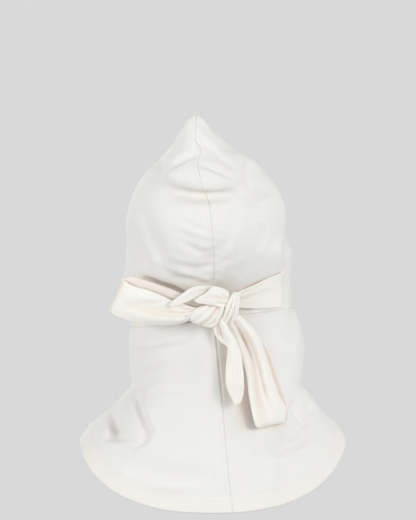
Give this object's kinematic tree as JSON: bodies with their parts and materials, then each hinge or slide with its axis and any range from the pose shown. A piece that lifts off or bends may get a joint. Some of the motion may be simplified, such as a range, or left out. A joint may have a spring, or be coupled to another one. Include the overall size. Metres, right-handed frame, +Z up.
{
  "type": "hijab underscarf cap",
  "caption": "Pointed jersey hood that covers head, neck and shoulders, with an oval face opening, a rounded hemmed yoke and two ties knotted in a bow at the nape.",
  "frame": {"origin": "the seat, where the top of the wearer's head meets the inside of the crown", "axes": "+Z up, the face opening looks along -Y, +X is the wearer's left"},
  "size_m": [0.2781, 0.243, 0.415],
  "materials": {
    "jersey": "smooth cotton jersey, off-white, matt",
    "hem": "turned double jersey with twin-needle stitching, off-white",
    "binding": "folded jersey edge, off-white",
    "tie_jersey": "double-layer jersey tie, warm cream, matt"
  },
  "bodies": {
    "root": {"crown_panel_left": "jersey", "crown_panel_right": "jersey", "yoke_panel_left": "jersey", "yoke_panel_right": "jersey", "face_binding": "binding", "hem_band": "hem", "tie_band_left": "tie_jersey", "tie_band_right": "tie_jersey", "bow_knot": "tie_jersey", "knot_wrap": "tie_jersey", "bow_loop_left": "tie_jersey", "bow_loop_right": "tie_jersey", "tie_tail_long": "tie_jersey", "tie_tail_short": "tie_jersey"}
  },
  "joints": []
}
